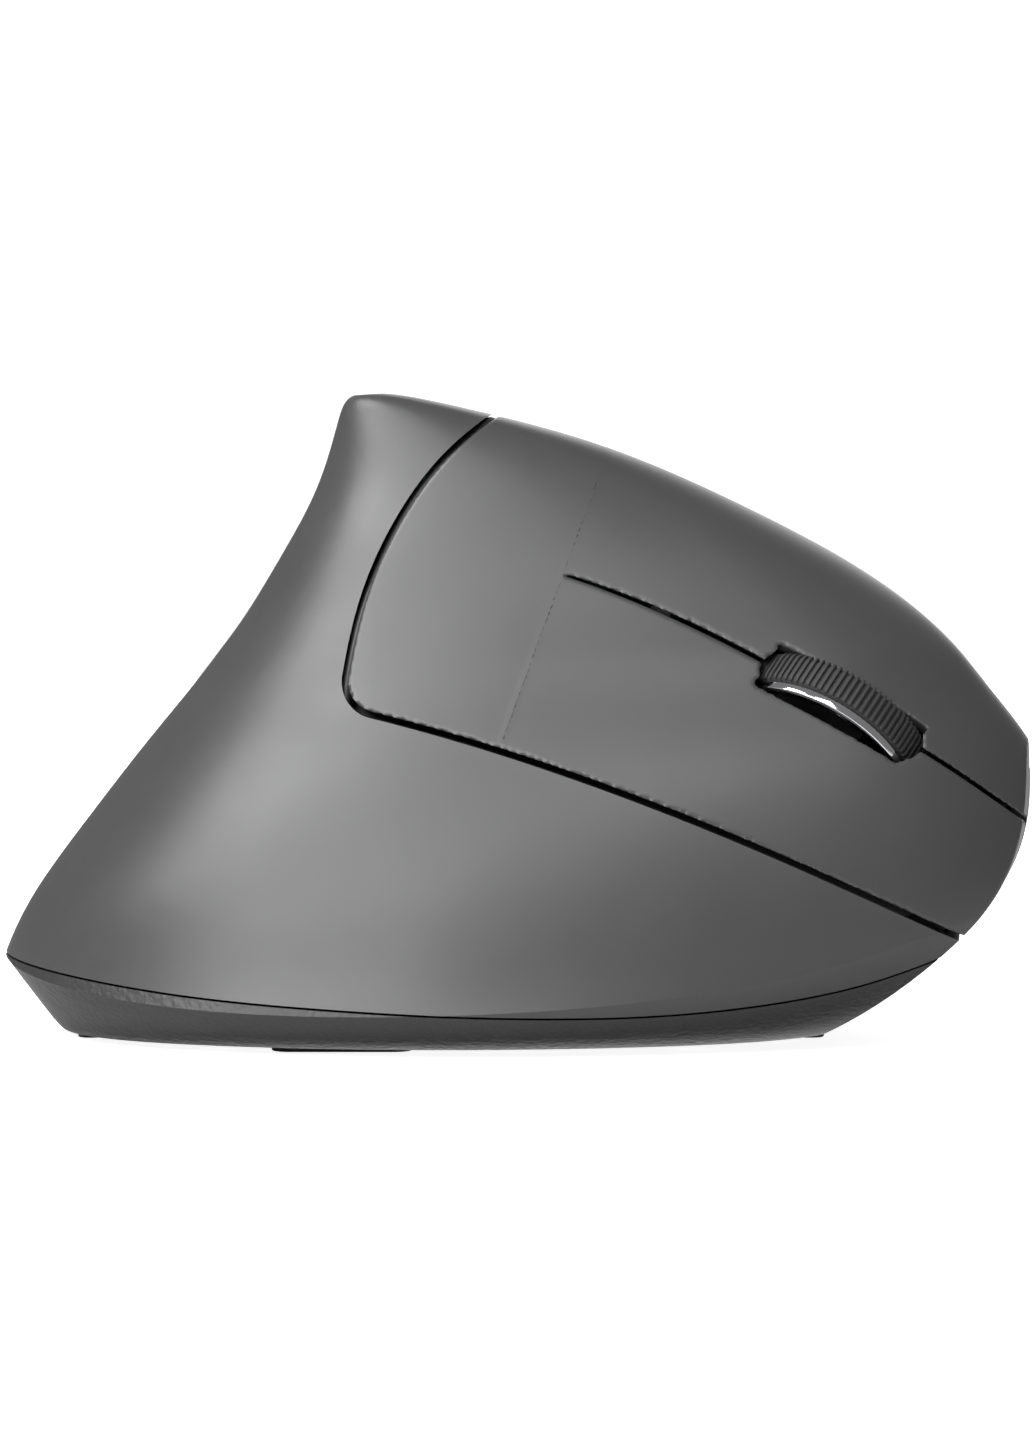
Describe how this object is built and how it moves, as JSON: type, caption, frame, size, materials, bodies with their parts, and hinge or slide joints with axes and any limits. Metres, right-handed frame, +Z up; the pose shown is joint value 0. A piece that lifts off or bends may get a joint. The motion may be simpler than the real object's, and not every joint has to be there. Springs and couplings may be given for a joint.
{
  "type": "vertical computer mouse",
  "caption": "Upright ergonomic wireless mouse with two side-facing main buttons, a ribbed scroll wheel, thumb buttons, a battery bay and a stowed receiver.",
  "frame": {"origin": "centre of the footprint at the undersides of the glide feet", "axes": "+X towards the nose, +Y towards the thumb side, +Z up from the desk"},
  "size_m": [0.1205, 0.0636, 0.0752],
  "materials": {
    "soft_coat": "soft-touch matt",
    "tray_plastic": "fine leather grain",
    "inner_plastic": "as moulded",
    "white_plastic": "as moulded",
    "board": "solder mask",
    "chip": "moulded resin",
    "steel": "plain",
    "chrome": "mirror",
    "tyre_rubber": "matt",
    "foot_film": "slick film",
    "lens": "clear moulding",
    "cell_jacket": "printed sleeve, plain",
    "can": "plain",
    "film_cable": "flat film",
    "receiver_shell": "as moulded"
  },
  "bodies": {
    "housing": {"palm_shell": "soft_coat", "thumb_shell": "soft_coat", "button_bridge": "soft_coat", "base_tray": "tray_plastic", "plate_carrier": "inner_plastic", "inner_frame": "inner_plastic", "wheel_bracket": "inner_plastic", "left_switch": "inner_plastic", "right_switch": "inner_plastic", "middle_switch": "inner_plastic", "back_switch": "inner_plastic", "forward_switch": "inner_plastic", "dpi_switch": "inner_plastic", "power_switch": "inner_plastic", "board_connector": "white_plastic", "main_connector": "white_plastic", "button_board": "board", "main_board": "board", "thumb_board": "board", "controller_chip": "chip", "optical_sensor": "chip", "cradle_pin": "steel", "base_screws": "steel", "frame_screws": "steel", "board_screws": "steel", "thumb_screws": "steel", "battery_bridge_contact": "steel", "battery_plus_contact": "steel", "battery_minus_contact": "steel", "crystal": "steel", "front_foot": "foot_film", "rear_foot": "foot_film", "right_foot": "foot_film", "left_foot": "foot_film", "sensor_lens": "lens", "battery_cell_left": "cell_jacket", "battery_cell_right": "cell_jacket", "capacitor": "can", "ribbon_cable": "film_cable"},
    "left_main_button": {"left_button": "soft_coat", "left_plunger": "white_plastic"},
    "right_main_button": {"right_button": "soft_coat", "right_plunger": "white_plastic"},
    "wheel_carrier": {"wheel_cradle": "inner_plastic", "encoder": "inner_plastic", "middle_plunger": "white_plastic"},
    "scroll_wheel": {"wheel_hub": "chrome", "wheel_tyre": "tyre_rubber", "wheel_axle": "steel"},
    "forward_thumb_button": {"forward_button": "soft_coat", "forward_plunger": "white_plastic"},
    "back_thumb_button": {"back_button": "soft_coat", "back_plunger": "white_plastic"},
    "dpi_thumb_button": {"dpi_button": "soft_coat", "dpi_plunger": "white_plastic"},
    "power_slider": {"power_knob": "inner_plastic"},
    "battery_cover": {"battery_door": "tray_plastic"},
    "receiver": {"receiver_cap": "receiver_shell", "receiver_plug": "steel"}
  },
  "joints": [
    {"name": "left_press", "type": "hinge", "parent": "housing", "child": "left_main_button", "pos_m": [0.00543, -0.00754, 0.0535], "axis": [0.3899, 0.4459, 0.8057], "range_deg": [0, 0.7], "stiffness_Nm_per_rad": 1.5, "springref_deg": -0.57},
    {"name": "right_press", "type": "hinge", "parent": "housing", "child": "right_main_button", "pos_m": [0.00543, -0.00754, 0.0535], "axis": [0.3899, 0.4459, 0.8057], "range_deg": [0, 0.7], "stiffness_Nm_per_rad": 1.5, "springref_deg": -0.57},
    {"name": "wheel_tilt", "type": "hinge", "parent": "housing", "child": "wheel_carrier", "pos_m": [0.02219, -0.00627, 0.04277], "axis": [0.5048, 0.4828, 0.7157], "range_deg": [0, 2], "stiffness_Nm_per_rad": 0.3, "springref_deg": -1.15},
    {"name": "wheel_spin", "type": "hinge", "parent": "wheel_carrier", "child": "scroll_wheel", "pos_m": [0.03593, -0.00931, 0.03512], "axis": [0.5048, 0.4828, 0.7157], "continuous": true},
    {"name": "forward_press", "type": "slide", "parent": "housing", "child": "forward_thumb_button", "axis": [0, -1, 0], "range_m": [0, 0.0006], "stiffness_N_per_m": 1000, "springref_m": -0.0004},
    {"name": "back_press", "type": "slide", "parent": "housing", "child": "back_thumb_button", "axis": [0, -1, 0], "range_m": [0, 0.0006], "stiffness_N_per_m": 1000, "springref_m": -0.0004},
    {"name": "dpi_press", "type": "slide", "parent": "housing", "child": "dpi_thumb_button", "axis": [0, -1, 0], "range_m": [0, 0.0006], "stiffness_N_per_m": 1000, "springref_m": -0.0004},
    {"name": "power_slide", "type": "slide", "parent": "housing", "child": "power_slider", "axis": [1, 0, 0], "range_m": [0, 0.0025]},
    {"name": "battery_cover_slide", "type": "slide", "parent": "housing", "child": "battery_cover", "axis": [0, 0, -1], "range_m": [0, 0.012]},
    {"name": "receiver_slide", "type": "slide", "parent": "housing", "child": "receiver", "axis": [0, 0, -1], "range_m": [0, 0.018]}
  ]
}
